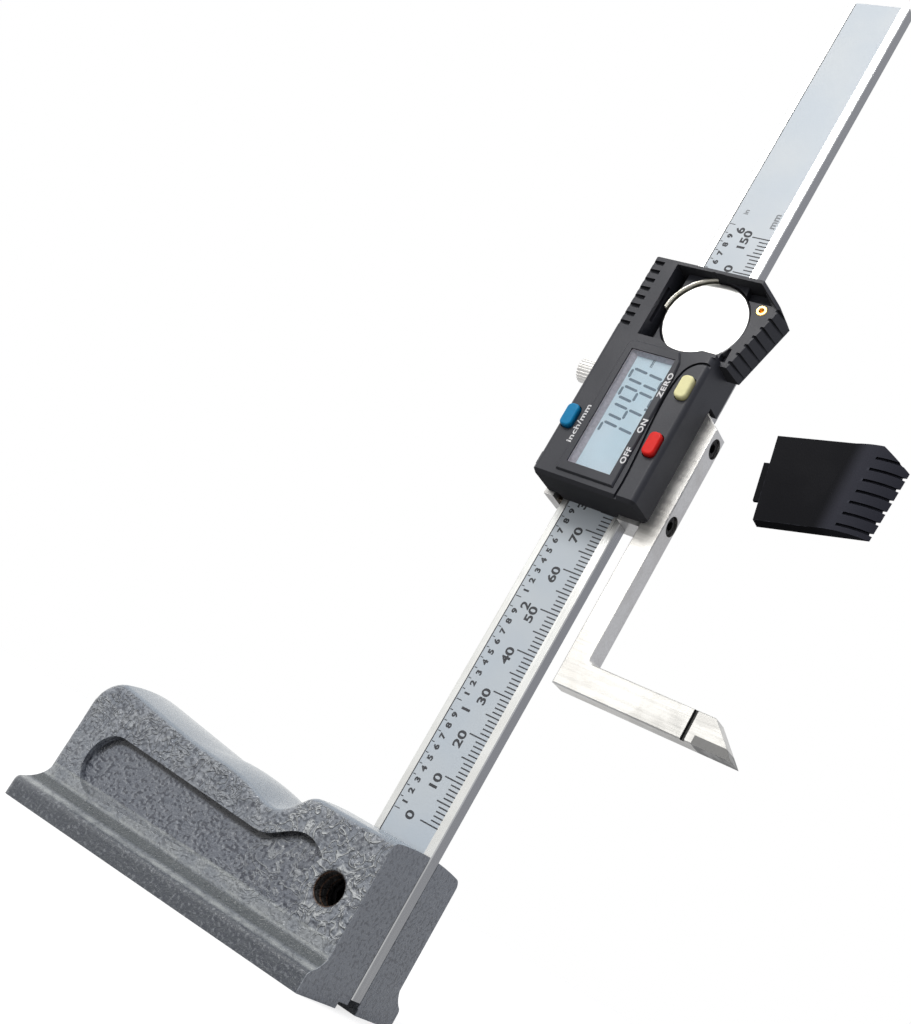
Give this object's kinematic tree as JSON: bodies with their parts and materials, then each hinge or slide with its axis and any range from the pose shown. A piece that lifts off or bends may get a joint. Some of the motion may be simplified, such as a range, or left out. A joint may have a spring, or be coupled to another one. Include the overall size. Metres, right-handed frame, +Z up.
{
  "type": "digital height gauge",
  "caption": "Bench height gauge with a sliding digital display head, a bent scriber arm and a heavy cast base.",
  "frame": {"origin": "centre of the base's underside", "axes": "+Z up the beam; +X towards the base's front end, where the beam stands and the scriber points; -Y towards the reader of the scale and display"},
  "size_m": [0.1504, 0.037, 0.26],
  "materials": {
    "base_paint": "hammered grey-blue enamel",
    "ground_steel": "ground satin stainless steel",
    "black_steel": "black oxide",
    "scale_foil": "satin printed foil",
    "circuit_board": "solder mask",
    "head_plastic": "fine matt charcoal",
    "clear_lens": "clear polished plastic",
    "display": "pale grey-blue liquid crystal glass",
    "rubber_part": "soft matt",
    "blue_cap": "glossy blue",
    "red_cap": "glossy red",
    "yellow_cap": "glossy pale yellow",
    "cell_steel": "bright nickel plate",
    "contact_spring": "nickel-plated spring strip",
    "bush_brass": "bright brass",
    "carbide": "ground dark grey carbide"
  },
  "bodies": {
    "base": {"base_casting": "base_paint", "beam_clamp_screw": "black_steel", "beam": "ground_steel", "scale_stator": "circuit_board", "scale_label": "scale_foil"},
    "slider": {"slider_frame": "ground_steel", "gib_strip": "bush_brass", "gib_screws": "black_steel", "scriber_arm": "ground_steel", "carbide_edge": "carbide", "arm_screws": "black_steel", "housing": "head_plastic", "housing_screws": "ground_steel", "window_lens": "clear_lens", "display_glass": "display", "display_connectors": "rubber_part", "main_board": "circuit_board", "sensor_board": "circuit_board", "board_spacers": "rubber_part", "button_domes": "rubber_part", "negative_contact": "contact_spring", "positive_contact": "contact_spring", "brass_bush": "bush_brass"},
    "lock_screw": {"lock_screw": "ground_steel"},
    "blue_button": {"blue_button": "blue_cap"},
    "red_button": {"red_button": "red_cap"},
    "yellow_button": {"yellow_button": "yellow_cap"},
    "coin_cell": {"coin_cell": "cell_steel"},
    "battery_cover": {"battery_cover": "head_plastic"}
  },
  "joints": [
    {"name": "slider_travel", "type": "slide", "parent": "base", "child": "slider", "axis": [0, 0, 1], "range_m": [-0.0749, 0.0751]},
    {"name": "lock_turn", "type": "hinge", "parent": "slider", "child": "lock_screw", "pos_m": [0.02701, 0.00175, 0.1452], "axis": [-1, 0, 0], "range_deg": [-180, 180]},
    {"name": "blue_press", "type": "slide", "parent": "slider", "child": "blue_button", "axis": [0, 1, 0], "range_m": [0, 0.0004], "stiffness_N_per_m": 500, "springref_m": -0.0004},
    {"name": "red_press", "type": "slide", "parent": "slider", "child": "red_button", "axis": [0, 1, 0], "range_m": [0, 0.0004], "stiffness_N_per_m": 500, "springref_m": -0.0004},
    {"name": "yellow_press", "type": "slide", "parent": "slider", "child": "yellow_button", "axis": [0, 1, 0], "range_m": [0, 0.0004], "stiffness_N_per_m": 500, "springref_m": -0.0004},
    {"name": "cell_lift", "type": "slide", "parent": "slider", "child": "coin_cell", "axis": [0, -1, 0], "range_m": [0, 0.0044]},
    {"name": "cover_carry", "type": "hinge", "parent": "slider", "child": "battery_cover", "pos_m": [0.2293, -0.0143, 0.3709], "axis": [0, 1, 0], "range_deg": [0, 11.5]}
  ]
}
